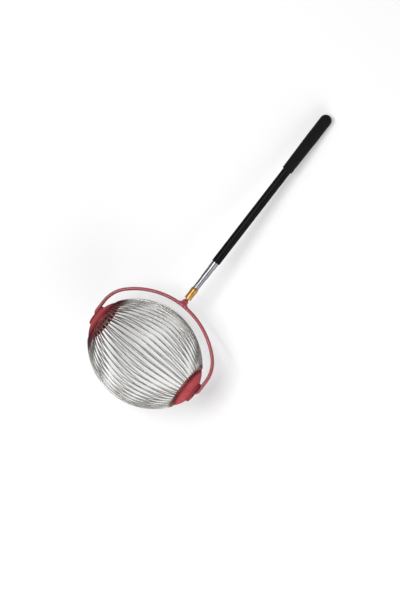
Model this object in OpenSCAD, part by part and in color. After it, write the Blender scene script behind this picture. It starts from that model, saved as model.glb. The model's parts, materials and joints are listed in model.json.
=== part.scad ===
// Rolling nut gatherer: a springy wire cage between two hubs, carried by a rod bail on a telescopic pole.
// The tool is modelled round the cage's centre, with the hub axle along Y and the pole along +X,
// and is then laid on the floor as it is put down: on two cage wires and on the grip's domed end.

/* [Cage] */
// Diameter of the cage over its wires, at the middle
cage_d = 192; // [187:1:200]
// Number of wires round the cage
wire_count = 54; // [44:2:56]
// Diameter of a cage wire
wire_d = 2.2; // [1.8:0.1:2.4]
// Radius of a wire's bow, at its centre line
bow_r = 124; // [119:1:131]
// Radius of the bend where a wire turns in to the hub, at its centre line
wire_bend_r = 5; // [4:0.5:6]
// Distance from the cage's middle to the plane of the wire ends in a hub
wire_plane_y = 98.5; // [95:0.5:100]
// Length of a wire's straight end inside the hub's rim
wire_seat = 8; // [6:0.5:8.5]

/* [Hubs] */
// Diameter of a hub at its rim
hub_d = 80; // [76:1:83]
// Thickness of the clamp plate's rim under the wires
band_t = 2.4; // [2:0.1:4]
// Depth of the clamp plate's slots above the wires
slot_head = 1.3; // [0.6:0.1:2]
// Thickness of the clamp plate's web
web_t = 2.4; // [2:0.1:2.8]
// Thickness of the shell's rim
rim_t = 2; // [1.6:0.1:3]
// Radius of the shell's domed outside
dome_r = 64.6; // [58:0.2:72]
// Wall of the shell
shell_wall = 2.6; // [2:0.1:3]
// Diameter of the raised boss
boss_d = 40; // [34:1:44]
// Height of the boss's face above the clamp plate
boss_h = 16.8; // [16:0.1:20]
// Diameter of the well in the boss's face, where the bail goes in
well_d = 18; // [16:0.5:22]
// Depth of that well
well_depth = 4.2; // [4:0.1:5]
// Outside diameter of the bush
bush_d = 9.5; // [9:0.1:11]
// Number of screws in a hub
screw_count = 6; // [4:1:8]
// Diameter of the circle that the screws stand on
screw_pcd = 44; // [40:1:46]
// Diameter of a screw's shank
screw_d = 3.5; // [3:0.1:4]

/* [Bail] */
// Diameter of the bail's rod
rod_d = 6.5; // [6:0.1:7]
// Distance from the cage's middle to the bail's rod at its top
bail_top = 113.5; // [108:0.5:122]
// Radius of the bail's broad top, at the rod's centre line
bail_r = 148; // [140:1:165]
// Radius of the bail's shoulders, at the rod's centre line
shoulder_r = 60; // [50:1:66]
// Radius of the bend from a leg to its pivot pin, at the rod's centre line
pin_bend_r = 8; // [7:0.5:8]

/* [Stem and ferrule] */
// Diameter of the stem's foot on the bail
stem_foot_d = 18.6; // [15:0.2:22]
// Diameter of the stem's body
stem_body_d = 11.8; // [10:0.2:13]
// Diameter of the stem's threaded neck
neck_d = 7; // [6:0.2:8]
// Height of the stem from the rod's centre to the ferrule
stem_h = 15; // [14.5:0.5:20]
// Diameter of the brass ferrule
ferrule_d = 13.3; // [13:0.1:15]
// Length of the ferrule
ferrule_len = 25; // [22:0.5:32]

/* [Pole] */
// Outside diameter of the innermost tube
inner_d = 11.6; // [10:0.1:12.2]
// Wall of the three bright tubes
tube_wall = 0.4; // [0.4:0.05:0.6]
// Radial gap between one tube and the next
tube_gap = 0.2; // [0.18:0.01:0.3]
// Wall of the black outer tube
outer_wall = 1; // [0.8:0.1:1.4]
// Length of the inner tube that shows when the pole is pushed together
inner_show = 24; // [10:1:40]
// Length of the third tube that shows
third_show = 23; // [10:1:40]
// Length of the second tube that shows
second_show = 13; // [8:1:40]
// Length of the outer tube
outer_len = 329; // [300:1:420]
// Length of a guide plug's sliding head
guide_head = 25; // [15:1:35]

/* [Grip] */
// Diameter of the grip at its lower end
grip_foot_d = 20.6; // [19.5:0.1:22]
// Diameter of the grip's straight upper end
grip_d = 22.6; // [22:0.1:26]
// Length of the grip
grip_len = 127; // [110:1:160]
// Length of the grip's straight upper end, up to the dome
grip_straight = 40; // [30:1:60]
// Thickness of the foam beyond the end of the outer tube
grip_end_wall = 12; // [8:0.5:16]

/* [Hidden] */
$fn = 64;
// The wires are kept in this many groups of neighbours
wire_groups = 10;
wire_nodes = [for (g = [1 : wire_groups]) str("cage_wires_", g)];

// Cuts run past their faces by this much
overrun = 1;
// Gap on each side of a wire in its slot, and under it
slot_gap = 0.06;
// Free space at the inner end of a wire in its slot
slot_end_gap = 0.3;
// Radial gap between a pivot pin and its bush
pin_gap = 0.08;
// Radial gap between a pivot pin and the clamp plate
plate_gap = 0.6;
// Gap between the turning and the standing faces at a pivot
side_gap = 0.3;
// Gap between a bail leg and the boss's face
leg_gap = 0.55;
// Radial gap of the pole's sliding fits
slide_gap = 0.05;
// Gap left between the pole's end stops
stop_gap = 0.3;
// Gap round the bail's rod in the stem's saddle
weld_gap = 0.05;
// Small bevel on turned and moulded edges
edge = 1;
// Bevel at the grip's lower end and the tubes' mouths
fine_edge = 0.3;
// Share of a bend that each of its two lapping pieces covers
lap_share = 0.6;
// Angle by which the two halves of a bow run past each other
lap_angle = 1;

// Cage and wires
wire_r = wire_d / 2;
wire_mid_r = cage_d / 2 - wire_r;
bow_angle = asin((wire_plane_y - wire_bend_r) / (bow_r - wire_bend_r));
wire_bend_mid_r = wire_mid_r - bow_r + (bow_r - wire_bend_r) * cos(bow_angle);
wire_end_r = hub_d / 2 - wire_seat;
pitch = 360 / wire_count;

// Hub: planes along the axle, from the cage's middle outwards
hub_r = hub_d / 2;
slot_floor_y = wire_plane_y - wire_r - slot_gap;
band_y = slot_floor_y - band_t;
parting_y = wire_plane_y + wire_r + slot_head;
web_y = parting_y - web_t;
collar_h = 1;
collar_d = 18;
collar_y = web_y - collar_h;
boss_y = parting_y + boss_h;
well_y = boss_y - well_depth;
dome_y = parting_y + rim_t - sqrt(pow(dome_r, 2) - pow(hub_r, 2));
cavity_r = wire_end_r - edge;
bearing_d = bush_d + 2 * shell_wall + 2 * edge;
band_slope = 2;
pillar_d = screw_d + 2 * edge + edge;
screw_head_d = 2 * screw_d;
screw_head_h = screw_d / 2;
screw_grip = 6;

// Bail, its pins and what holds them
leg_y = boss_y + leg_gap + rod_d / 2;
bail_angle = asin((leg_y - shoulder_r) / (bail_r - shoulder_r));
leg_len = bail_top - bail_r + (bail_r - shoulder_r) * cos(bail_angle) - pin_bend_r;
washer_t = 1.2;
washer_d = 16;
washer_gap = 0.1;
nut_t = 1.5;
nut_d = 13;
nut_crown = 0.6;
pin_stub = 1;
washer_y = collar_y - side_gap - washer_t;
nut_y = washer_y - nut_t;
pin_end_y = nut_y - pin_stub;

// Stem and ferrule, measured along the pole from the cage's middle
stem_foot_h = 3;
stem_waist_d = 14.6;
stem_waist_h = 5.5;
stem_body_h = 7;
stem_shoulder_h = 10.5;
stem_neck_h = 12.5;
ferrule_x = bail_top + stem_h;
ferrule_top_x = ferrule_x + ferrule_len;
tube_seat = 11;
stud_end_gap = 0.6;
collar_rise = 0.45;
collar_len = 6;
ferrule_taper = 3.5;
ferrule_lip = 0.4;

// Pole sections: bores, mouths and inner ends
inner_bore = inner_d - 2 * tube_wall;
third_bore = inner_d + 2 * tube_gap;
third_d = third_bore + 2 * tube_wall;
second_bore = third_d + 2 * tube_gap;
second_d = second_bore + 2 * tube_wall;
outer_bore = second_d + 2 * tube_gap;
outer_d = outer_bore + 2 * outer_wall;
inner_x = ferrule_top_x - tube_seat;
third_x = ferrule_top_x + inner_show;
second_x = third_x + third_show;
outer_x = second_x + second_show;
outer_end_x = outer_x + outer_len;
lip_len = 4;
guide_spigot = 12;
guide_vent_d = 6;
plug_len = 20;
second_end_x = outer_end_x - plug_len - stop_gap - guide_head;
third_end_x = second_end_x - guide_spigot - stop_gap - guide_head;
inner_end_x = third_end_x - guide_spigot - stop_gap - guide_head;

// Grip
grip_end_x = outer_end_x + grip_end_wall;
grip_x = grip_end_x - grip_len;
dome_x = grip_end_x - grip_d / 2;

// How the tool lies: the cage on two neighbouring wires, the pole sloping down to the grip's dome
rest_h = wire_mid_r * cos(pitch / 2) + wire_r;
lean = asin((rest_h - grip_d / 2) / dome_x);
mid_x = (dome_x * cos(lean) + grip_d / 2 - cage_d / 2) / 2;
slides = [
    inner_end_x - third_x - lip_len - stop_gap,
    third_end_x - second_x - lip_len - stop_gap,
    second_end_x - outer_x - lip_len - stop_gap
];
echo(lean = lean, rest_h = rest_h, mid_x = mid_x, slides = slides);

// Colours
steel = "gainsboro";
hub_red = "firebrick";
bail_red = "brown";
brass = "goldenrod";
bright = "silver";
black = [0.1, 0.1, 0.11];
nylon = "ivory";
zinc = "lightsteelblue";

// Places a piece of the standing tool where it lies on the floor
module lay() translate([-mid_x, 0, rest_h]) rotate([0, lean, 0]) children();

// Turns a profile of (radius, distance) round the hub axle, on one side of the cage
module turned_on_axle(side) mirror([0, side < 0 ? 1 : 0, 0]) rotate([-90, 0, 0]) rotate_extrude() children();

// Turns a profile of (radius, distance) round the pole
module turned_on_pole() rotate([0, 90, 0]) rotate_extrude() children();

// A ring as a profile: from one radius to another, from one distance to another
module ring_profile(bore_d, outer_d, from, to)
    translate([bore_d / 2, from]) square([(outer_d - bore_d) / 2, to - from]);

// Round rod along an arc about the origin, from the X axis through a signed angle
module rod_arc(d, radius, angle)
    rotate_extrude(angle = abs(angle), start = min(angle, 0)) translate([radius, 0]) circle(d = d);

// Rod bend that leaves the origin along Y, to one side, and curls towards -X. Children go on from its end.
module rod_bend(d, side, radius, angle) translate([-radius, 0, 0]) {
    rod_arc(d, radius, side * angle * lap_share);
    rotate([0, 0, side * angle]) {
        rod_arc(d, radius, -side * angle * lap_share);
        translate([radius, 0, 0]) children();
    }
}

// Straight rod from the origin along Y, to one side. Children go on from its end.
module rod_run(d, side, length) {
    rotate([-side * 90, 0, 0]) cylinder(d = d, h = length);
    translate([0, side * length, 0]) children();
}

// One cage wire in the X side of the cage: a bow, and at each end a bend and a straight end that points inwards
module wire() translate([wire_mid_r - bow_r, 0, 0]) for (side = [-1, 1])
    rotate([0, 0, side * bow_angle]) {
        rod_arc(wire_d, bow_r, -side * (bow_angle + lap_angle));
        translate([bow_r, 0, 0])
            rod_bend(wire_d, side, wire_bend_r, 90 - bow_angle)
            rod_run(wire_d, side, wire_bend_mid_r - wire_end_r);
    }

// Turns what is drawn in the X side of the cage to the place of a wire. Lying down, a gap is lowest.
module at_wire(k) rotate([0, 90 - lean + pitch * (k + 0.5), 0]) children();

// One group of neighbouring wires, g from 1
module cage_wires(g) color(steel) lay()
    for (k = [ceil((g - 1) * wire_count / wire_groups) : ceil(g * wire_count / wire_groups) - 1])
        at_wire(k) wire();

// Places children at the screws of a hub, each pointing out along the axle
module at_screws(side) mirror([0, side < 0 ? 1 : 0, 0]) for (i = [0 : screw_count - 1])
    rotate([0, 360 * (i + 0.5) / screw_count, 0]) translate([screw_pcd / 2, 0, 0]) rotate([-90, 0, 0]) children();

// Half section of the shell: rounded rim, dome and boss, less the cavity, the well and the bush's seat
module shell_profile() difference() {
    union() {
        translate([0, parting_y]) square([hub_r - rim_t / 2, rim_t]);
        translate([hub_r - rim_t / 2, parting_y + rim_t / 2]) circle(d = rim_t);
        intersection() {
            translate([0, dome_y]) circle(r = dome_r);
            translate([0, parting_y + rim_t / 2]) square([hub_r - rim_t / 2, boss_h]);
        }
        polygon([
            [0, parting_y], [boss_d / 2, parting_y], [boss_d / 2, boss_y - edge],
            [boss_d / 2 - edge, boss_y], [0, boss_y]
        ]);
    }
    intersection() {
        translate([0, dome_y]) circle(r = dome_r - shell_wall);
        translate([bearing_d / 2, parting_y - overrun])
            square([cavity_r - bearing_d / 2, well_y - shell_wall - parting_y + overrun]);
    }
    translate([-overrun, parting_y - overrun]) square([bush_d / 2 + overrun, boss_h + 2 * overrun]);
    translate([-overrun, well_y]) square([well_d / 2 + overrun, well_depth + overrun]);
}

// Outer half of a hub, with a pillar for each screw inside
module hub_shell(side) color(hub_red) lay() difference() {
    union() {
        turned_on_axle(side) shell_profile();
        intersection() {
            at_screws(side) translate([0, 0, parting_y]) cylinder(d = pillar_d, h = boss_h);
            translate([0, side * dome_y, 0]) sphere(r = dome_r - shell_wall / 2);
        }
    }
    at_screws(side) translate([0, 0, parting_y - overrun]) cylinder(d = screw_d, h = screw_grip + overrun);
}

// Half section of the clamp plate: a deep rim, a thin web and a collar round the pin
module plate_profile() polygon([
    [rod_d / 2 + plate_gap, parting_y], [hub_r, parting_y], [hub_r, band_y + edge], [hub_r - edge, band_y],
    [cavity_r + band_slope, band_y], [cavity_r, web_y], [collar_d / 2, web_y],
    [collar_d / 2, collar_y], [rod_d / 2 + plate_gap, collar_y]
]);

// Inner half of a hub: its rim is slotted for the wire ends
module clamp_plate(side) color(hub_red) lay() difference() {
    turned_on_axle(side) plate_profile();
    mirror([0, side < 0 ? 1 : 0, 0]) for (k = [0 : wire_count - 1]) at_wire(k)
        translate([wire_end_r - slot_end_gap, slot_floor_y, -wire_r - slot_gap])
            cube([wire_seat + slot_end_gap + overrun, parting_y - slot_floor_y + overrun, wire_d + 2 * slot_gap]);
    at_screws(side) translate([0, 0, web_y - overrun]) cylinder(d = screw_d, h = web_t + 2 * overrun);
}

// Pan-head screws that hold the plate to the shell
module plate_screws(side) color(zinc) lay() at_screws(side) {
    translate([0, 0, web_y]) cylinder(d = screw_d, h = web_t + screw_grip);
    translate([0, 0, web_y - screw_head_h])
        cylinder(d1 = screw_head_d - edge, d2 = screw_head_d, h = screw_head_h);
}

// Plain bush that turns on the bail's pin
module bush(side) color(nylon) lay()
    turned_on_axle(side) ring_profile(rod_d + 2 * pin_gap, bush_d, parting_y, well_y);

// The bail: a broad top, two shoulders, two legs and two pivot pins, all of one rod
module bail() color(bail_red) lay() translate([bail_top - bail_r, 0, 0]) for (side = [-1, 1])
    rotate([0, 0, side * bail_angle]) {
        rod_arc(rod_d, bail_r, -side * (bail_angle + lap_angle));
        translate([bail_r, 0, 0])
            rod_bend(rod_d, side, shoulder_r, 90 - bail_angle)
            rod_run(rod_d, side, leg_len)
            rod_bend(rod_d, side, pin_bend_r, 90)
            rod_run(rod_d, side, leg_y - pin_bend_r - pin_end_y);
    }

// Washer between the clamp plate and the push nut
module pin_washer(side) color(zinc) lay()
    turned_on_axle(side) ring_profile(rod_d + 2 * washer_gap, washer_d, washer_y, washer_y + washer_t);

// Push nut that grips the end of the pin, with a bevelled crown
module push_nut(side) color(zinc) lay() turned_on_axle(side) polygon([
    [rod_d / 2, nut_y], [nut_d / 2 - nut_crown, nut_y], [nut_d / 2, nut_y + nut_crown],
    [nut_d / 2, washer_y], [rod_d / 2, washer_y]
]);

// Stem on the bail's top: a flared foot that straddles the rod, a body and a threaded neck
module stem() color(bail_red) lay() difference() {
    translate([bail_top, 0, 0]) turned_on_pole() polygon([
        [0, 0], [stem_foot_d / 2, 0], [stem_foot_d / 2, stem_foot_h], [stem_waist_d / 2, stem_waist_h],
        [stem_body_d / 2, stem_body_h], [stem_body_d / 2, stem_shoulder_h], [neck_d / 2, stem_neck_h],
        [neck_d / 2, inner_x - stud_end_gap - bail_top], [0, inner_x - stud_end_gap - bail_top]
    ]);
    translate([bail_top - bail_r, 0, 0]) for (side = [-1, 1])
        rod_arc(rod_d + 2 * weld_gap, bail_r, side * bail_angle);
}

// Brass ferrule: threaded on the stem's neck below, round the inner tube above
module ferrule() color(brass) lay() turned_on_pole() polygon([
    [neck_d / 2, ferrule_x], [ferrule_d / 2 - edge / 2, ferrule_x], [ferrule_d / 2, ferrule_x + edge / 2],
    [ferrule_d / 2, ferrule_top_x - ferrule_taper - collar_len],
    [ferrule_d / 2 + collar_rise, ferrule_top_x - ferrule_taper - collar_len + collar_rise],
    [ferrule_d / 2 + collar_rise, ferrule_top_x - ferrule_taper],
    [inner_d / 2 + ferrule_lip, ferrule_top_x], [inner_d / 2, ferrule_top_x],
    [inner_d / 2, inner_x], [neck_d / 2, inner_x]
]);

// Telescopic tube whose mouth is drawn in to guide the next tube
module mouth_tube(d, bore_d, lip_d, from, to) turned_on_pole() polygon([
    [lip_d / 2, from], [d / 2 - fine_edge, from], [d / 2, from + fine_edge], [d / 2, to],
    [bore_d / 2, to], [bore_d / 2, from + lip_len], [lip_d / 2, from + lip_len]
]);

// Guide plug: a spigot in the end of its tube and a head that slides in the next tube
module guide_plug(spigot_d, head_d, end_x) turned_on_pole() polygon([
    [guide_vent_d / 2, end_x - guide_spigot], [spigot_d / 2, end_x - guide_spigot], [spigot_d / 2, end_x],
    [head_d / 2, end_x], [head_d / 2, end_x + guide_head], [guide_vent_d / 2, end_x + guide_head]
]);

module inner_tube() color(bright) lay()
    turned_on_pole() ring_profile(inner_bore, inner_d, inner_x, inner_end_x);
module inner_guide() color(nylon) lay() guide_plug(inner_bore, third_bore - 2 * slide_gap, inner_end_x);
module third_tube() color(bright) lay()
    mouth_tube(third_d, third_bore, inner_d + 2 * slide_gap, third_x, third_end_x);
module third_guide() color(nylon) lay() guide_plug(third_bore, second_bore - 2 * slide_gap, third_end_x);
module second_tube() color(bright) lay()
    mouth_tube(second_d, second_bore, third_d + 2 * slide_gap, second_x, second_end_x);
module second_guide() color(nylon) lay() guide_plug(second_bore, outer_bore - 2 * slide_gap, second_end_x);
module outer_tube() color(black) lay()
    mouth_tube(outer_d, outer_bore, second_d + 2 * slide_gap, outer_x, outer_end_x);

// Plug in the end of the outer tube, which the second tube's guide comes to rest on
module end_plug() color(black) lay()
    turned_on_pole() ring_profile(guide_vent_d, outer_bore, outer_end_x - plug_len, outer_end_x);

// Foam grip: tapered below, straight above, with a round end
module grip() color(black) lay() turned_on_pole() difference() {
    union() {
        polygon([
            [0, grip_x], [grip_foot_d / 2 - edge, grip_x], [grip_foot_d / 2, grip_x + edge],
            [grip_d / 2, dome_x - grip_straight], [grip_d / 2, dome_x], [0, dome_x]
        ]);
        intersection() {
            translate([0, dome_x]) circle(d = grip_d);
            translate([0, dome_x]) square([grip_d / 2, grip_d / 2]);
        }
    }
    translate([-overrun, grip_x - overrun]) square([outer_d / 2 + overrun, outer_end_x - grip_x + overrun]);
}

for (g = [1 : wire_groups]) cage_wires(g);
hub_shell(-1);  // left_hub_shell
hub_shell(1);  // right_hub_shell
clamp_plate(-1);  // left_clamp_plate
clamp_plate(1);  // right_clamp_plate
plate_screws(-1);  // left_plate_screws
plate_screws(1);  // right_plate_screws
bush(-1);  // left_bush
bush(1);  // right_bush
bail();
pin_washer(-1);  // left_pin_washer
pin_washer(1);  // right_pin_washer
push_nut(-1);  // left_push_nut
push_nut(1);  // right_push_nut
stem();
ferrule();
inner_tube();
inner_guide();
third_tube();
third_guide();
second_tube();
second_guide();
outer_tube();
end_plug();
grip();
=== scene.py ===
import json
import math
import bmesh
import bpy
from mathutils import Matrix, Vector


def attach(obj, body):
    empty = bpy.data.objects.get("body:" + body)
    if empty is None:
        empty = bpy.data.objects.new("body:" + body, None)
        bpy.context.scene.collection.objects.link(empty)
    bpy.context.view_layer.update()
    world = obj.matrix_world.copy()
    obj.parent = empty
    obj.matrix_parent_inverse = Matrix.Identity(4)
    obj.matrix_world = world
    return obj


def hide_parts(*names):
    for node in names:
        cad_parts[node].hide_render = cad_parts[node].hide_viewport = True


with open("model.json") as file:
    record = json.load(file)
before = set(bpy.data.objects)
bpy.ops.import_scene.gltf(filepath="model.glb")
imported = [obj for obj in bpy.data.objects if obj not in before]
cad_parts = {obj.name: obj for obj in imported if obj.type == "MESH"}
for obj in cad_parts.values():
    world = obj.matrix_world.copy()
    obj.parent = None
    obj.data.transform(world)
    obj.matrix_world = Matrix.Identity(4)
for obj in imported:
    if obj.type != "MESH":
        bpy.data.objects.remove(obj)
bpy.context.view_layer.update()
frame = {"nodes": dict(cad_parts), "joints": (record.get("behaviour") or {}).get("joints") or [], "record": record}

mm = 0.001
fullTurn = 2 * math.pi
quarterTurn = fullTurn / 4
nodes = frame["nodes"]
joints = {joint["name"]: joint for joint in frame["joints"]}

# The tool's own frame: origin at the cage's centre, hub axle along Y, pole along +X
cageCentre = Vector(joints["cage_spin"]["pos_m"])
poleDirection = Vector(joints["third_slide"]["axis"]).normalized()
lean = math.asin(-poleDirection.z)
layDown = Matrix.Translation(cageCentre) @ Matrix.Rotation(lean, 4, "Y")
standUp = layDown.inverted()
axle = Vector((0, 1, 0))
pole = Vector((1, 0, 0))
print("frame loaded:", len(nodes), "nodes")


# Camera, as in the photograph
shot = {
    "right": (0.5813, -0.7774, -0.2404),
    "up": (0.7870, 0.6122, -0.0768),
    "aimRight": 101.7 * mm,     # from the cage's centre to the middle of the picture
    "aimUp": 99.5 * mm,
    "distance": 4.0,
    "lens": 86.5,
    "sensor": 24.0,
}


def addCamera():
    right = Vector(shot["right"]).normalized()
    up = Vector(shot["up"])
    up = (up - right * up.dot(right)).normalized()
    back = right.cross(up)
    aim = cageCentre + right * shot["aimRight"] + up * shot["aimUp"]
    data = bpy.data.cameras.new("photoCamera")
    data.sensor_fit = "VERTICAL"
    data.sensor_height = shot["sensor"]
    data.lens = shot["lens"]
    camera = bpy.data.objects.new("photoCamera", data)
    turn = Matrix((right, up, back)).transposed().to_4x4()
    camera.matrix_world = Matrix.Translation(aim + back * shot["distance"]) @ turn
    bpy.context.scene.collection.objects.link(camera)
    bpy.context.scene.camera = camera
    return right, up, back, aim


right, up, back, aim = addCamera()
print("camera set")


# Node helpers for the finishes
noiseRange = (0.3, 0.7)     # where most values of a noise lie


def startMaterial(name):
    material = bpy.data.materials.new(name)
    material.use_nodes = True
    tree = material.node_tree
    return material, tree, tree.nodes["Principled BSDF"]


def objectCoords(tree, stretch=(1, 1, 1), alongPole=False):
    # alongPole turns the coordinates into the tool's frame, so that X runs along the pole
    source = tree.nodes.new("ShaderNodeTexCoord").outputs["Object"]
    if alongPole:
        stand = tree.nodes.new("ShaderNodeMapping")
        stand.inputs["Location"].default_value = standUp.to_translation()
        stand.inputs["Rotation"].default_value = standUp.to_euler()
        tree.links.new(source, stand.inputs["Vector"])
        source = stand.outputs["Vector"]
    scale = tree.nodes.new("ShaderNodeMapping")
    scale.inputs["Scale"].default_value = stretch
    tree.links.new(source, scale.inputs["Vector"])
    return scale.outputs["Vector"]


def alongAxle(tree):
    place = tree.nodes.new("ShaderNodeSeparateXYZ")
    tree.links.new(objectCoords(tree), place.inputs["Vector"])
    return place.outputs["Y"]


def noise(tree, coords, scale=1, detail=4, rough=0.55):
    node = tree.nodes.new("ShaderNodeTexNoise")
    node.inputs["Scale"].default_value = scale
    node.inputs["Detail"].default_value = detail
    node.inputs["Roughness"].default_value = rough
    tree.links.new(coords, node.inputs["Vector"])
    return node.outputs["Fac"]


def spread(tree, value, low, high, fromRange=noiseRange):
    node = tree.nodes.new("ShaderNodeMapRange")
    node.inputs["From Min"].default_value, node.inputs["From Max"].default_value = fromRange
    node.inputs["To Min"].default_value = low
    node.inputs["To Max"].default_value = high
    tree.links.new(value, node.inputs["Value"])
    return node.outputs["Result"]


def tint(tree, value, finish):
    ramp = tree.nodes.new("ShaderNodeValToRGB")
    for element, position, shade in zip(ramp.color_ramp.elements, noiseRange, ("dark", "light")):
        element.position = position
        element.color = (*finish[shade], 1)
    tree.links.new(value, ramp.inputs["Fac"])
    return ramp.outputs["Color"]


def relief(tree, height, finish):
    node = tree.nodes.new("ShaderNodeBump")
    node.inputs["Strength"].default_value = finish["reliefShare"]
    node.inputs["Distance"].default_value = finish["reliefDepth"]
    tree.links.new(height, node.inputs["Height"])
    return node.outputs["Normal"]


def product(tree, first, second):
    node = tree.nodes.new("ShaderNodeMath")
    node.operation = "MULTIPLY"
    tree.links.new(first, node.inputs[0])
    tree.links.new(second, node.inputs[1])
    return node.outputs["Value"]


def blend(tree, share, under, over):
    node = tree.nodes.new("ShaderNodeMixRGB")
    node.inputs["Color2"].default_value = (*over, 1)
    tree.links.new(share, node.inputs["Fac"])
    tree.links.new(under, node.inputs["Color1"])
    return node.outputs["Color"]


def dress(tree, shader, colour, roughness, normal):
    tree.links.new(colour, shader.inputs["Base Color"])
    tree.links.new(roughness, shader.inputs["Roughness"])
    tree.links.new(normal, shader.inputs["Normal"])


# Bright spring wire: drawn lines along it, slightly uneven plating, and painted shade with a painted red
# reflection of the hubs on the wire ends near the hubs
wireFinish = {
    "dark": (0.32, 0.312, 0.298), "light": (0.52, 0.509, 0.488), "smooth": 0.22, "dull": 0.40,
    "patch": 45, "patchStretch": (1, 0.4, 1), "drawn": (900, 30, 900), "drawnDetail": 2,
    "reliefShare": 0.12, "reliefDepth": 0.05 * mm,
    # painted shade and painted red reflection of the hubs on the wires' ends, darker and redder at the far hub
    "shadeBands": [     # each one fades in between two places along the axle
        {"colour": (0.115, 0.036, 0.031), "share": 0.90, "fade": (-94.5 * mm, -98.5 * mm)},
        {"colour": (0.085, 0.034, 0.030), "share": 0.80, "fade": (79.5 * mm, 85 * mm)},
        {"colour": (0.105, 0.012, 0.014), "share": 0.96, "fade": (85.5 * mm, 91 * mm)},
    ],
}


def makeWireSteel():
    material, tree, shader = startMaterial("wireSteel")
    patches = noise(tree, objectCoords(tree, wireFinish["patchStretch"]), wireFinish["patch"])
    lines = noise(tree, objectCoords(tree, wireFinish["drawn"]), detail=wireFinish["drawnDetail"])
    place = alongAxle(tree)
    colour = tint(tree, patches, wireFinish)
    # paint the shade and the hubs' red reflection onto the wires near each hub
    for shadeBand in wireFinish["shadeBands"]:
        strength = spread(tree, place, 0, shadeBand["share"], shadeBand["fade"])
        colour = blend(tree, strength, colour, shadeBand["colour"])
    roughness = spread(tree, lines, wireFinish["smooth"], wireFinish["dull"])
    dress(tree, shader, colour, roughness, relief(tree, lines, wireFinish))
    shader.inputs["Metallic"].default_value = 1
    return material


# Moulded plastic of the hubs, with painted shade on the boss, at the shell's edge and on the clamp plates inside
# the cage
hubFinish = {
    "dark": (0.36, 0.054, 0.061), "light": (0.45, 0.080, 0.089),
    "gloss": 0.05, "smooth": 0.66, "dull": 0.82,
    "cloud": 35, "cloudDetail": 3, "skin": 2200, "skinDetail": 2,
    "scuff": (160, 700, 160), "scuffDetail": 5, "scuffRough": 0.7, "scuffRange": (0.45, 0.75),
    "reliefShare": 0.10, "reliefDepth": 0.05 * mm,
    # colour of the painted shade on the boss, the shell's edge and the clamp plates
    "paintedShade": (0.12, 0.012, 0.016),
    "bossShare": 0.58, "bossFade": (113.2 * mm, 114.8 * mm),
    "edgeShare": 0.55, "edgeFade": (106 * mm, 103 * mm),
    "plateShare": 0.9, "plateFade": (101.3 * mm, 100.7 * mm),
    "rimFade": (39.3 * mm, 37.8 * mm),
}


def makeHubPlastic():
    material, tree, shader = startMaterial("hubPlastic")
    coords = objectCoords(tree)
    clouds = noise(tree, coords, hubFinish["cloud"], hubFinish["cloudDetail"])
    skin = noise(tree, coords, hubFinish["skin"], hubFinish["skinDetail"])
    scuffs = noise(tree, objectCoords(tree, hubFinish["scuff"]),
                   detail=hubFinish["scuffDetail"], rough=hubFinish["scuffRough"])
    outward = tree.nodes.new("ShaderNodeMath")
    outward.operation = "ABSOLUTE"
    tree.links.new(alongAxle(tree), outward.inputs[0])
    height = outward.outputs["Value"]
    fromAxle = tree.nodes.new("ShaderNodeVectorMath")
    fromAxle.operation = "LENGTH"
    tree.links.new(objectCoords(tree, (1, 0, 1), True), fromAxle.inputs[0])
    reach = fromAxle.outputs["Value"]
    # painted shade: darker on the boss, towards the shell's edge and on the clamp plates inside the rim
    bossShade = spread(tree, height, 0, hubFinish["bossShare"], hubFinish["bossFade"])
    edgeShade = spread(tree, height, 0, hubFinish["edgeShare"], hubFinish["edgeFade"])
    plateShade = spread(tree, height, 0, hubFinish["plateShare"], hubFinish["plateFade"])
    onShell = spread(tree, height, 1, 0, hubFinish["plateFade"])
    insideRim = spread(tree, reach, 0, 1, hubFinish["rimFade"])
    colour = tint(tree, clouds, hubFinish)
    for paintedShade in (bossShade, product(tree, edgeShade, onShell), product(tree, plateShade, insideRim)):
        colour = blend(tree, paintedShade, colour, hubFinish["paintedShade"])
    roughness = spread(tree, scuffs, hubFinish["smooth"], hubFinish["dull"], hubFinish["scuffRange"])
    dress(tree, shader, colour, roughness, relief(tree, skin, hubFinish))
    shader.inputs["Specular IOR Level"].default_value = hubFinish["gloss"]
    return material


# Powder coat on the bail and its stem: a fine orange peel
coatFinish = {
    "dark": (0.27, 0.036, 0.050), "light": (0.35, 0.056, 0.074),
    "gloss": 0.40, "smooth": 0.17, "dull": 0.28,
    "cloud": 28, "peel": 700, "peelDetail": 2,
    "reliefShare": 0.18, "reliefDepth": 0.12 * mm,
}


def makeBailCoat():
    material, tree, shader = startMaterial("bailCoat")
    coords = objectCoords(tree)
    clouds = noise(tree, coords, coatFinish["cloud"])
    peel = noise(tree, coords, coatFinish["peel"], coatFinish["peelDetail"])
    roughness = spread(tree, clouds, coatFinish["dull"], coatFinish["smooth"])
    dress(tree, shader, tint(tree, clouds, coatFinish), roughness, relief(tree, peel, coatFinish))
    shader.inputs["Specular IOR Level"].default_value = coatFinish["gloss"]
    return material


# Metals of the pole: turned brass with fine rings and a little tarnish, tubes with long rub marks
brassFinish = {
    "dark": (0.33, 0.175, 0.048), "light": (0.47, 0.280, 0.098), "smooth": 0.36, "dull": 0.50,
    "patch": 90, "marks": (2600, 12, 12), "marksDetail": 2,
    "reliefShare": 0.25, "reliefDepth": 0.04 * mm,
}
tubeFinish = {
    "dark": (0.155, 0.155, 0.165), "light": (0.23, 0.23, 0.245), "smooth": 0.26, "dull": 0.38,
    "patch": 30, "marks": (14, 900, 900), "marksDetail": 3,
    "reliefShare": 0.08, "reliefDepth": 0.03 * mm,
}


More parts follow.
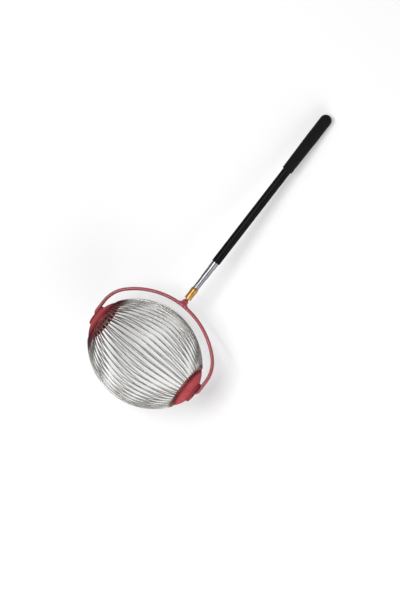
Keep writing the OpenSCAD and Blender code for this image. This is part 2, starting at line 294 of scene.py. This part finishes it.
def makePoleMetal(name, finish):
    material, tree, shader = startMaterial(name)
    patches = noise(tree, objectCoords(tree), finish["patch"])
    marks = noise(tree, objectCoords(tree, finish["marks"], True), detail=finish["marksDetail"])
    roughness = spread(tree, marks, finish["smooth"], finish["dull"])
    dress(tree, shader, tint(tree, patches, finish), roughness, relief(tree, marks, finish))
    shader.inputs["Metallic"].default_value = 1
    return material


# Satin black paint of the outer tube
paintFinish = {
    "dark": (0.0030, 0.0030, 0.0036), "light": (0.0070, 0.0070, 0.0078),
    "gloss": 0.05, "smooth": 0.28, "dull": 0.44,
    "cloud": 22, "rubs": (10, 600, 600), "rubsRough": 0.65, "peel": 900, "peelDetail": 2,
    "reliefShare": 0.10, "reliefDepth": 0.06 * mm,
}


def makeBlackPaint():
    material, tree, shader = startMaterial("blackPaint")
    coords = objectCoords(tree)
    clouds = noise(tree, coords, paintFinish["cloud"])
    rubs = noise(tree, objectCoords(tree, paintFinish["rubs"], True), rough=paintFinish["rubsRough"])
    peel = noise(tree, coords, paintFinish["peel"], paintFinish["peelDetail"])
    roughness = spread(tree, rubs, paintFinish["smooth"], paintFinish["dull"])
    dress(tree, shader, tint(tree, clouds, paintFinish), roughness, relief(tree, peel, paintFinish))
    shader.inputs["Specular IOR Level"].default_value = paintFinish["gloss"]
    return material


# Dense black foam rubber: closed cells and a soft sheen
foamFinish = {
    "dark": (0.0045, 0.0045, 0.0050), "light": (0.0090, 0.0090, 0.0097),
    "gloss": 0.08, "smooth": 0.62, "dull": 0.85, "sheen": 0.03, "sheenRough": 0.5,
    "cell": 1400, "cloud": 60,
    "reliefShare": 0.45, "reliefDepth": 0.15 * mm,
}


def makeFoam():
    material, tree, shader = startMaterial("blackFoam")
    coords = objectCoords(tree)
    cells = tree.nodes.new("ShaderNodeTexVoronoi")
    cells.inputs["Scale"].default_value = foamFinish["cell"]
    tree.links.new(coords, cells.inputs["Vector"])
    clouds = noise(tree, coords, foamFinish["cloud"])
    roughness = spread(tree, clouds, foamFinish["smooth"], foamFinish["dull"])
    normal = relief(tree, cells.outputs["Distance"], foamFinish)
    dress(tree, shader, tint(tree, clouds, foamFinish), roughness, normal)
    shader.inputs["Specular IOR Level"].default_value = foamFinish["gloss"]
    shader.inputs["Sheen Weight"].default_value = foamFinish["sheen"]
    shader.inputs["Sheen Roughness"].default_value = foamFinish["sheenRough"]
    return material


# Small parts: natural nylon, black plastic and dull zinc plate
plainFinish = {
    "naturalNylon": {"dark": (0.62, 0.59, 0.50), "light": (0.76, 0.74, 0.66),
                     "smooth": 0.38, "dull": 0.55, "metal": 0},
    "blackPlastic": {"dark": (0.014, 0.014, 0.015), "light": (0.026, 0.026, 0.027),
                     "smooth": 0.4, "dull": 0.6, "metal": 0},
    "zincPlate": {"dark": (0.13, 0.12, 0.11), "light": (0.22, 0.205, 0.19),
                  "smooth": 0.40, "dull": 0.60, "metal": 1},
    "grain": 240, "skin": 1800, "skinDetail": 2,
    "reliefShare": 0.12, "reliefDepth": 0.05 * mm,
}


def makePlain(name):
    finish = plainFinish[name]
    material, tree, shader = startMaterial(name)
    coords = objectCoords(tree)
    grain = noise(tree, coords, plainFinish["grain"])
    skin = noise(tree, coords, plainFinish["skin"], plainFinish["skinDetail"])
    roughness = spread(tree, grain, finish["smooth"], finish["dull"])
    dress(tree, shader, tint(tree, grain, finish), roughness, relief(tree, skin, plainFinish))
    shader.inputs["Metallic"].default_value = finish["metal"]
    return material


finishes = {
    "wire": makeWireSteel(),
    "hub": makeHubPlastic(),
    "bail": makeBailCoat(),
    "brass": makePoleMetal("turnedBrass", brassFinish),
    "bright_tube": makePoleMetal("brightTube", tubeFinish),
    "black_tube": makeBlackPaint(),
    "grip": makeFoam(),
    "nylon": makePlain("naturalNylon"),
    "black_plastic": makePlain("blackPlastic"),
    "zinc": makePlain("zincPlate"),
}
for subpart in frame["record"]["subparts"]:
    slots = nodes[subpart["node"]].data.materials
    for index in range(len(slots)):
        slots[index] = finishes[subpart["material_slot"]]
print("finishes made:", len(finishes))


# Modelling helpers: every piece is made in the tool's frame and then laid down with the CAD
sides = {"left": -1, "right": 1}
weldGap = mm / 1000         # points closer than this are one point
ringGap = mm / 100          # points closer than this to a ring lie on it
roundSegments = 4
sharpAngle = math.radians(35)


def cleanUp(bm):
    bmesh.ops.remove_doubles(bm, verts=bm.verts, dist=weldGap)
    bmesh.ops.dissolve_degenerate(bm, dist=weldGap, edges=bm.edges)
    bmesh.ops.recalc_face_normals(bm, faces=bm.faces)


def bevelEdges(bm, edges, width, segments):
    bmesh.ops.bevel(bm, geom=edges, offset=width, offset_type="OFFSET", segments=segments, profile=0.5,
                    affect="EDGES", material=-1, clamp_overlap=True)


def roundRing(bm, axis, along, radius, rounding):
    def onRing(vert):
        reach = vert.co.dot(axis)
        away = (vert.co - axis * reach).length
        return abs(reach - along) < ringGap and abs(away - radius) < ringGap
    ring = [edge for edge in bm.edges if onRing(edge.verts[0]) and onRing(edge.verts[1])]
    bevelEdges(bm, ring, rounding, roundSegments)


def turnPiece(profile, axis, steps, sign=1):
    # profile holds (distance along the axis, radius, rounding of that corner)
    profile = [(along * sign, radius, rounding) for along, radius, rounding in profile]
    bm = bmesh.new()
    across = Vector((0, 0, 1)) if axis.x else Vector((1, 0, 0))
    chain = [bm.verts.new(axis * along + across * radius) for along, radius, rounding in profile]
    pairs = list(zip(chain, chain[1:]))
    if profile[0][1] or profile[-1][1]:
        pairs.append((chain[-1], chain[0]))
    edges = [bm.edges.new(pair) for pair in pairs]
    bmesh.ops.spin(bm, geom=chain + edges, axis=axis, cent=(0, 0, 0), angle=fullTurn, steps=steps,
                   use_merge=True)
    cleanUp(bm)
    for along, radius, rounding in profile:
        if rounding:
            roundRing(bm, axis, along, radius, rounding)
    return bm


def addCopies(bm, source, matrices):
    # source is used up: each matrix places one copy of it in bm
    mesh = bpy.data.meshes.new("copied")
    source.to_mesh(mesh)
    source.free()
    for matrix in matrices:
        moved = mesh.copy()
        moved.transform(matrix)
        bm.from_mesh(moved)
        bpy.data.meshes.remove(moved)
    bpy.data.meshes.remove(mesh)


def finishPiece(bm, name, body, slotName, replaced=(), place=layDown):
    bmesh.ops.transform(bm, matrix=place, verts=bm.verts)
    mesh = bpy.data.meshes.new(name)
    bm.to_mesh(mesh)
    bm.free()
    mesh.shade_smooth()
    mesh.set_sharp_from_angle(angle=sharpAngle)
    mesh.materials.append(finishes[slotName])
    piece = bpy.data.objects.new(name, mesh)
    bpy.context.scene.collection.objects.link(piece)
    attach(piece, body)
    if replaced:
        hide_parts(*replaced)
    return piece


# Hub shell: moulded dome with a rounded rim, a boss and a well where the bail goes in
hub = {
    "parting": 100.9 * mm, "rimTop": 102.9 * mm, "rim": 40 * mm, "rimRound": 0.95 * mm,
    "domeRadius": 64.6 * mm, "wall": 2.6 * mm, "domeSteps": 10,
    "boss": 20 * mm, "bossFace": 117.7 * mm, "bossRound": 1.3 * mm, "footRound": 1.6 * mm,
    "well": 9 * mm, "wellFloor": 113.5 * mm, "wellRound": 0.6 * mm,
    "bushSeat": 4.75 * mm, "bearing": 8.35 * mm, "cavity": 31 * mm, "cavityRound": 0.8 * mm,
    "steps": 120,
}


def domeHeight(radius, domeRadius):
    centre = hub["rimTop"] - math.sqrt(hub["domeRadius"] ** 2 - hub["rim"] ** 2)
    return centre + math.sqrt(domeRadius ** 2 - radius ** 2)


def domeCurve(start, end, domeRadius):
    shares = [step / hub["domeSteps"] for step in range(hub["domeSteps"] + 1)]
    radii = [start + (end - start) * share for share in shares]
    return [(domeHeight(radius, domeRadius), radius, 0) for radius in radii]


def makeHubShell(side, sign):
    inner = hub["domeRadius"] - hub["wall"]
    ceiling = hub["wellFloor"] - hub["wall"]
    ceilingReach = math.sqrt(inner ** 2 - (ceiling - domeHeight(0, inner) + inner) ** 2)
    edge = hub["rim"] - hub["rimRound"]
    outside = domeCurve(edge, hub["boss"], hub["domeRadius"])
    outside[-1] = (outside[-1][0], hub["boss"], hub["footRound"])
    profile = [
        (hub["parting"], hub["bushSeat"], 0),
        (hub["parting"], hub["bearing"], 0),
        (ceiling, hub["bearing"], hub["cavityRound"]),
        *domeCurve(ceilingReach, hub["cavity"], inner),
        (hub["parting"], hub["cavity"], 0),
        (hub["parting"], hub["rim"], hub["rimRound"]),
        (hub["rimTop"], hub["rim"], hub["rimRound"]),
        *outside[1:],
        (hub["bossFace"], hub["boss"], hub["bossRound"]),
        (hub["bossFace"], hub["well"], hub["wellRound"]),
        (hub["wellFloor"], hub["well"], 0),
        (hub["wellFloor"], hub["bushSeat"], 0),
    ]
    bm = turnPiece(profile, axle, hub["steps"], sign)
    return finishPiece(bm, side + "HubShell", "cage", "hub", [side + "_hub_shell"])


# Clamp plate: the CAD shape with its moulded edges softened
plate = {"edge": 0.28 * mm, "edgeSegments": 2, "edgeAngle": 30, "flatAngle": 0.6}


def makeClampPlate(side):
    bm = bmesh.new()
    bm.from_mesh(nodes[side + "_clamp_plate"].data)
    bmesh.ops.remove_doubles(bm, verts=bm.verts, dist=weldGap)
    bmesh.ops.dissolve_limit(bm, angle_limit=math.radians(plate["flatAngle"]), verts=bm.verts,
                             edges=bm.edges)
    sharp = [edge for edge in bm.edges if edge.calc_face_angle(0) > math.radians(plate["edgeAngle"])]
    bevelEdges(bm, sharp, plate["edge"], plate["edgeSegments"])
    bmesh.ops.triangulate(bm, faces=[face for face in bm.faces if len(face.verts) > 4])
    return finishPiece(bm, side + "ClampPlate", "cage", "hub", [side + "_clamp_plate"],
                       Matrix.Identity(4))


for side, sign in sides.items():
    makeHubShell(side, sign)
for side in sides:
    makeClampPlate(side)
print("hubs made")


# Pan-head screws with a cross recess, seen from inside the cage
screw = {
    "seat": 98.5 * mm, "circle": 22 * mm, "count": 6, "steps": 32,
    "head": 3.5 * mm, "headTop": 2.95 * mm, "headHeight": 1.75 * mm, "headRound": 0.7 * mm,
    "shank": 1.75 * mm, "shankLength": 8.4 * mm, "rim": 2.2 * mm,
    "arm": 1.55 * mm, "armHalf": 0.36 * mm, "recess": 1.15 * mm, "recessTaper": 0.72,
}


def makeScrew():
    # The screw stands on Z: its seat at 0, its head above
    half, arm, height = screw["armHalf"], screw["arm"], screw["headHeight"]
    outline = [
        (0, 0, -screw["shankLength"]),
        (screw["shank"], 0, -screw["shankLength"]),
        (screw["shank"], 0, 0),
        (screw["head"], 0, 0),
        (screw["headTop"] + half, 0, height - screw["headRound"]),
        (screw["headTop"] - half, 0, height - half / 2),
        (screw["rim"], 0, height),
    ]
    bm = bmesh.new()
    chain = [bm.verts.new(point) for point in outline]
    edges = [bm.edges.new(pair) for pair in zip(chain, chain[1:])]
    bmesh.ops.spin(bm, geom=chain + edges, axis=(0, 0, 1), cent=(0, 0, 0), angle=fullTurn,
                   steps=screw["steps"], use_merge=True)
    cleanUp(bm)
    mouth = [edge for edge in bm.edges if edge.is_boundary]
    quarter = [(arm, -half), (arm, half), (half, half)]
    corners = []
    for turn in range(4):
        spun = Matrix.Rotation(turn * quarterTurn, 2)
        corners += [bm.verts.new((*(spun @ Vector(point)), height)) for point in quarter]
    cross = [bm.edges.new(pair) for pair in zip(corners, corners[1:] + corners[:1])]
    bmesh.ops.bridge_loops(bm, edges=mouth + cross)
    walls = bmesh.ops.extrude_edge_only(bm, edges=cross)["geom"]
    floor = [item for item in walls if isinstance(item, bmesh.types.BMVert)]
    rimEdges = [item for item in walls if isinstance(item, bmesh.types.BMEdge)]
    bmesh.ops.translate(bm, verts=floor, vec=(0, 0, -screw["recess"]))
    bmesh.ops.scale(bm, verts=floor, vec=(screw["recessTaper"], screw["recessTaper"], 1))
    bmesh.ops.contextual_create(bm, geom=[edge for edge in rimEdges if edge.is_boundary])
    cleanUp(bm)
    return bm


def makeScrews(side, sign):
    facing = Matrix.Rotation(sign * quarterTurn, 4, "X")      # the head points to the middle of the cage
    seat = Matrix.Translation((screw["circle"], sign * screw["seat"], 0))
    angles = [fullTurn * (index + 0.5) / screw["count"] for index in range(screw["count"])]
    bm = bmesh.new()
    addCopies(bm, makeScrew(), [Matrix.Rotation(angle, 4, "Y") @ seat @ facing for angle in angles])
    return finishPiece(bm, side + "PlateScrews", "cage", "zinc", [side + "_plate_screws"])


# Washer and toothed push nut on each pin's end
pinEnd = {
    "pin": 3.25 * mm, "steps": 72,
    "washerBore": 3.35 * mm, "washer": 8 * mm, "washerFrom": 96 * mm, "washerTo": 97.2 * mm,
    "washerRound": 0.25 * mm,
    "nut": 6.5 * mm, "nutFrom": 94.5 * mm, "nutTo": 96 * mm, "nutRound": 0.45 * mm,
    "nutRing": 4.9 * mm, "sheet": 0.55 * mm, "teeth": 6, "toothShare": 0.68, "toothSteps": 8,
}


def makeWasher(side, sign):
    profile = [
        (pinEnd["washerFrom"], pinEnd["washerBore"], pinEnd["washerRound"]),
        (pinEnd["washerFrom"], pinEnd["washer"], pinEnd["washerRound"]),
        (pinEnd["washerTo"], pinEnd["washer"], pinEnd["washerRound"]),
        (pinEnd["washerTo"], pinEnd["washerBore"], 0),
    ]
    bm = turnPiece(profile, axle, pinEnd["steps"], sign)
    return finishPiece(bm, side + "PinWasher", "yoke", "zinc", [side + "_pin_washer"])


def makePushNut(side, sign):
    low, high, sheet = pinEnd["nutFrom"], pinEnd["nutTo"], pinEnd["sheet"]
    rim = [
        (high, pinEnd["nutRing"], 0),
        (high, pinEnd["nut"], 0),
        (low + sheet, pinEnd["nut"], pinEnd["nutRound"]),
        (low + sheet, pinEnd["nutRing"], 0),
    ]
    bm = turnPiece(rim, axle, pinEnd["steps"], sign)
    root = pinEnd["nutRing"] + sheet
    corners = [(pinEnd["pin"], low), (root, low + sheet), (root, high), (pinEnd["pin"], low + sheet)]
    tooth = bmesh.new()
    face = tooth.faces.new([tooth.verts.new((radius, along * sign, 0)) for radius, along in corners])
    bmesh.ops.spin(tooth, geom=[face], axis=axle, cent=(0, 0, 0), steps=pinEnd["toothSteps"],
                   angle=fullTurn * pinEnd["toothShare"] / pinEnd["teeth"])
    cleanUp(tooth)
    turns = [fullTurn * index / pinEnd["teeth"] for index in range(pinEnd["teeth"])]
    addCopies(bm, tooth, [Matrix.Rotation(turn, 4, "Y") for turn in turns])
    return finishPiece(bm, side + "PushNut", "yoke", "zinc", [side + "_push_nut"])


for side, sign in sides.items():
    makeScrews(side, sign)
    makeWasher(side, sign)
    makePushNut(side, sign)
print("fasteners made")


# Stem on the bail: a flared foot, a body, a threaded neck and the weld on the rod
stem = {
    "foot": 113.5 * mm, "footRadius": 9.3 * mm, "footHeight": 3 * mm, "footRound": 1.2 * mm,
    "footEdge": 0.45 * mm, "waistRadius": 7.3 * mm, "waistHeight": 5.5 * mm,
    "bodyRadius": 5.9 * mm, "bodyHeight": 7 * mm, "softRound": 0.9 * mm,
    "shoulder": 10.5 * mm, "shoulderRound": 1.4 * mm, "neckRadius": 3.1 * mm, "neckHeight": 12.5 * mm,
    "end": 28.4 * mm, "steps": 72,
    "threadCrest": 3.5 * mm, "threadPitch": 1.25 * mm, "threadTurns": 4, "threadSteps": 36,
    "rod": 3.25 * mm, "bead": 0.95 * mm, "beadPlace": 9.2 * mm, "beadSteps": 44, "beadSides": 10,
}


def makeStem():
    foot = stem["foot"]
    profile = [
        (foot, 0, 0),
        (foot, stem["footRadius"], stem["footEdge"]),
        (foot + stem["footHeight"], stem["footRadius"], stem["footRound"]),
        (foot + stem["waistHeight"], stem["waistRadius"], stem["softRound"]),
        (foot + stem["bodyHeight"], stem["bodyRadius"], stem["softRound"]),
        (foot + stem["shoulder"], stem["bodyRadius"], stem["shoulderRound"]),
        (foot + stem["neckHeight"], stem["neckRadius"], 0),
        (foot + stem["end"], stem["neckRadius"], 0),
        (foot + stem["end"], 0, 0),
    ]
    bm = turnPiece(profile, pole, stem["steps"])
    return finishPiece(bm, "stemBoss", "yoke", "bail", ["stem"])


def makeNeckThread():
    half = stem["threadPitch"] / 2
    start = stem["foot"] + stem["neckHeight"] - half
    root = stem["neckRadius"] - half / 4        # sunk in the neck a little
    corners = [(start, root), (start + half, stem["threadCrest"]), (start + 2 * half, root)]
    bm = bmesh.new()
    face = bm.faces.new([bm.verts.new((along, 0, radius)) for along, radius in corners])
    bmesh.ops.spin(bm, geom=[face], axis=pole, cent=(0, 0, 0), angle=fullTurn * stem["threadTurns"],
                   steps=stem["threadSteps"] * stem["threadTurns"],
                   dvec=pole * stem["threadPitch"] / stem["threadSteps"])
    cleanUp(bm)
    return finishPiece(bm, "neckThread", "yoke", "bail")


def makeWeldBeads():
    bead = bmesh.new()
    made = bmesh.ops.create_circle(bead, radius=stem["bead"], segments=stem["beadSides"])
    bmesh.ops.translate(bead, verts=made["verts"], vec=(stem["rod"], 0, 0))
    bmesh.ops.rotate(bead, verts=made["verts"], cent=(0, 0, 0), matrix=Matrix.Rotation(quarterTurn, 3, "X"))
    bmesh.ops.spin(bead, geom=bead.verts[:] + bead.edges[:], axis=(0, 0, 1), cent=(0, 0, 0), angle=fullTurn,
                   steps=stem["beadSteps"], use_merge=True)
    cleanUp(bead)
    turned = Matrix.Rotation(quarterTurn, 4, "X")
    places = [(stem["foot"], sign * stem["beadPlace"], 0) for sign in sides.values()]
    bm = bmesh.new()
    addCopies(bm, bead, [Matrix.Translation(place) @ turned for place in places])
    return finishPiece(bm, "weldBeads", "yoke", "bail")


makeStem()
makeNeckThread()
makeWeldBeads()


# Brass ferrule: turned, with two fine grooves below its collar
ferrule = {
    "from": 128.5 * mm, "to": 153.5 * mm, "radius": 6.65 * mm, "bore": 3.5 * mm,
    "seat": 142.5 * mm, "tube": 5.8 * mm, "lip": 0.4 * mm,
    "collarRise": 0.45 * mm, "collarFrom": 144 * mm, "collarTo": 150 * mm,
    "grooves": (140.1 * mm, 141.9 * mm), "grooveHalf": 0.3 * mm, "grooveDepth": 0.3 * mm,
    "round": 0.45 * mm, "fineRound": 0.15 * mm, "steps": 96,
}


def makeFerrule():
    radius, fine = ferrule["radius"], ferrule["fineRound"]
    collar = radius + ferrule["collarRise"]
    profile = [(ferrule["from"], ferrule["bore"], 0), (ferrule["from"], radius, ferrule["round"])]
    for groove in ferrule["grooves"]:
        profile += [
            (groove - ferrule["grooveHalf"], radius, 0),
            (groove, radius - ferrule["grooveDepth"], fine),
            (groove + ferrule["grooveHalf"], radius, 0),
        ]
    profile += [
        (ferrule["collarFrom"], radius, fine),
        (ferrule["collarFrom"] + ferrule["collarRise"], collar, fine),
        (ferrule["collarTo"], collar, ferrule["round"]),
        (ferrule["to"], ferrule["tube"] + ferrule["lip"], fine),
        (ferrule["to"], ferrule["tube"], 0),
        (ferrule["seat"], ferrule["tube"], 0),
        (ferrule["seat"], ferrule["bore"], 0),
    ]
    bm = turnPiece(profile, pole, ferrule["steps"])
    return finishPiece(bm, "brassFerrule", "yoke", "brass", ["ferrule"])


makeFerrule()
print("stem and ferrule made")


# Telescopic tubes: each mouth is drawn in round the next tube
tubes = {
    "third_tube": {"piece": "thirdTube", "body": "third_section", "slot": "bright_tube",
                   "from": 177.5 * mm, "to": 459.9 * mm,
                   "radius": 6.4 * mm, "bore": 6.0 * mm, "lip": 5.85 * mm},
    "second_tube": {"piece": "secondTube", "body": "second_section", "slot": "bright_tube",
                    "from": 200.5 * mm, "to": 497.2 * mm,
                    "radius": 7.0 * mm, "bore": 6.6 * mm, "lip": 6.45 * mm},
    "outer_tube": {"piece": "outerTube", "body": "handle", "slot": "black_tube",
                   "from": 213.5 * mm, "to": 542.5 * mm,
                   "radius": 8.2 * mm, "bore": 7.2 * mm, "lip": 7.05 * mm},
}
mouth = {"length": 4 * mm, "roundShare": 0.75, "steps": 96}


def makeTube(node):
    tube = tubes[node]
    rounding = mouth["roundShare"] * (tube["radius"] - tube["lip"])
    profile = [
        (tube["from"], tube["lip"], 0),
        (tube["from"], tube["radius"], rounding),
        (tube["to"], tube["radius"], 0),
        (tube["to"], tube["bore"], 0),
        (tube["from"] + mouth["length"], tube["bore"], 0),
        (tube["from"] + mouth["length"], tube["lip"], 0),
    ]
    bm = turnPiece(profile, pole, mouth["steps"])
    return finishPiece(bm, tube["piece"], tube["body"], tube["slot"], [node])


for node in tubes:
    makeTube(node)
print("tubes made")


# Foam grip: a dense sleeve, slightly uneven by hand, with a domed end
grip = {
    "from": 427.5 * mm, "footRadius": 10.3 * mm, "footRound": 1.1 * mm, "radius": 11.3 * mm,
    "straightFrom": 503.2 * mm, "dome": 543.2 * mm, "tube": 8.2 * mm, "tubeEnd": 542.5 * mm,
    "domeSteps": 10, "ringLength": 2.5 * mm, "steps": 96, "uneven": 0.25 * mm, "lump": 14 * mm,
}


def gripRings(start, end, startRadius, endRadius):
    count = max(1, round((end - start) / grip["ringLength"]))
    length, widening = end - start, endRadius - startRadius
    shares = [step / count for step in range(count)]
    return [(start + length * share, startRadius + widening * share, 0) for share in shares]


def makeGrip():
    radius = grip["radius"]
    sleeve = gripRings(grip["from"], grip["straightFrom"], grip["footRadius"], radius)
    sleeve[0] = (grip["from"], grip["footRadius"], grip["footRound"])
    straight = gripRings(grip["straightFrom"], grip["dome"], radius, radius)
    angles = [quarterTurn * step / grip["domeSteps"] for step in range(grip["domeSteps"])]
    dome = [(grip["dome"] + radius * math.sin(angle), radius * math.cos(angle), 0) for angle in angles]
    profile = [
        (grip["tubeEnd"], 0, 0),
        (grip["tubeEnd"], grip["tube"], 0),
        (grip["from"], grip["tube"], 0),
        *sleeve, *straight, *dome,
        (grip["dome"] + radius, 0, 0),
    ]
    bm = turnPiece(profile, pole, grip["steps"])
    piece = finishPiece(bm, "foamGrip", "handle", "grip", ["grip"])
    lumps = bpy.data.textures.new("foamLumps", "CLOUDS")
    lumps.noise_scale = grip["lump"]
    displace = piece.modifiers.new("uneven", "DISPLACE")
    displace.texture = lumps
    displace.texture_coords = "LOCAL"
    displace.mid_level = 1
    displace.strength = grip["uneven"]
    return piece


makeGrip()
print("grip made")


# Floor and light
studio = {
    "floorSize": 8.0,
    "floorDrop": 0.4 * mm,
    "floorColour": (0.90, 0.90, 0.90, 1),
    "whiteShare": 0.30,           # share of the floor that is plain white to the camera and in reflections
    "horizon": (0.21, 0.21, 0.21, 1),
    "zenith": (0.18, 0.18, 0.18, 1),
}


def makeFloor():
    bm = bmesh.new()
    bmesh.ops.create_grid(bm, x_segments=1, y_segments=1, size=studio["floorSize"] / 2)
    bmesh.ops.translate(bm, verts=bm.verts, vec=(0, 0, -studio["floorDrop"]))
    mesh = bpy.data.meshes.new("studioFloor")
    bm.to_mesh(mesh)
    bm.free()
    floor = bpy.data.objects.new("studioFloor", mesh)
    bpy.context.scene.collection.objects.link(floor)
    material = bpy.data.materials.new("paleFloor")
    material.use_nodes = True
    tree = material.node_tree
    tree.nodes.clear()
    paths = tree.nodes.new("ShaderNodeLightPath")
    diffuse = tree.nodes.new("ShaderNodeBsdfDiffuse")
    white = tree.nodes.new("ShaderNodeEmission")
    mixed = tree.nodes.new("ShaderNodeMixShader")
    output = tree.nodes.new("ShaderNodeOutputMaterial")
    diffuse.inputs["Color"].default_value = studio["floorColour"]
    seen = None
    for ray in ("Is Camera Ray", "Is Glossy Ray", "Is Transmission Ray"):
        larger = tree.nodes.new("ShaderNodeMath")
        larger.operation = "MAXIMUM"
        larger.inputs[1].default_value = 0
        tree.links.new(paths.outputs[ray], larger.inputs[0])
        if seen:
            tree.links.new(seen, larger.inputs[1])
        seen = larger.outputs["Value"]
    share = tree.nodes.new("ShaderNodeMath")
    share.operation = "MULTIPLY"
    share.inputs[1].default_value = studio["whiteShare"]
    tree.links.new(seen, share.inputs[0])
    tree.links.new(share.outputs["Value"], mixed.inputs["Fac"])
    tree.links.new(diffuse.outputs["BSDF"], mixed.inputs[1])
    tree.links.new(white.outputs["Emission"], mixed.inputs[2])
    tree.links.new(mixed.outputs["Shader"], output.inputs["Surface"])
    mesh.materials.append(material)


def makeWorld():
    world = bpy.data.worlds.new("studioWorld")
    world.use_nodes = True
    bpy.context.scene.world = world
    tree = world.node_tree
    coords = tree.nodes.new("ShaderNodeTexCoord")
    parts = tree.nodes.new("ShaderNodeSeparateXYZ")
    ramp = tree.nodes.new("ShaderNodeValToRGB")
    ramp.color_ramp.elements[0].color = studio["horizon"]
    ramp.color_ramp.elements[1].color = studio["zenith"]
    tree.links.new(coords.outputs["Generated"], parts.inputs["Vector"])
    tree.links.new(parts.outputs["Z"], ramp.inputs["Fac"])
    tree.links.new(ramp.outputs["Color"], tree.nodes["Background"].inputs["Color"])


# side gives the lamp's direction from the aim: right and up in the picture, and towards the camera
lamps = {
    "keyLamp": {"side": (-0.42, 0.05, 0.92), "distance": 3.2, "size": (1.5, 1.5), "watts": 70},
    "fillLamp": {"side": (0.35, -0.80, 0.50), "distance": 2.2, "size": (2.4, 1.6), "watts": 34},
    "streakLamp": {"side": (-0.47, 0.36, 0.80), "distance": 1.9, "size": (0.08, 1.3), "watts": 6},
}


def addLamps():
    for name, lamp in lamps.items():
        data = bpy.data.lights.new(name, "AREA")
        data.shape = "RECTANGLE"
        data.size, data.size_y = lamp["size"]
        data.energy = lamp["watts"]
        across, above, towards = lamp["side"]
        direction = (right * across + up * above + back * towards).normalized()
        light = bpy.data.objects.new(name, data)
        turn = direction.to_track_quat("Z", "Y").to_matrix().to_4x4()
        light.matrix_world = Matrix.Translation(aim + direction * lamp["distance"]) @ turn
        bpy.context.scene.collection.objects.link(light)


makeFloor()
makeWorld()
addLamps()
bpy.context.scene.view_settings.view_transform = "Standard"
print("studio lit")
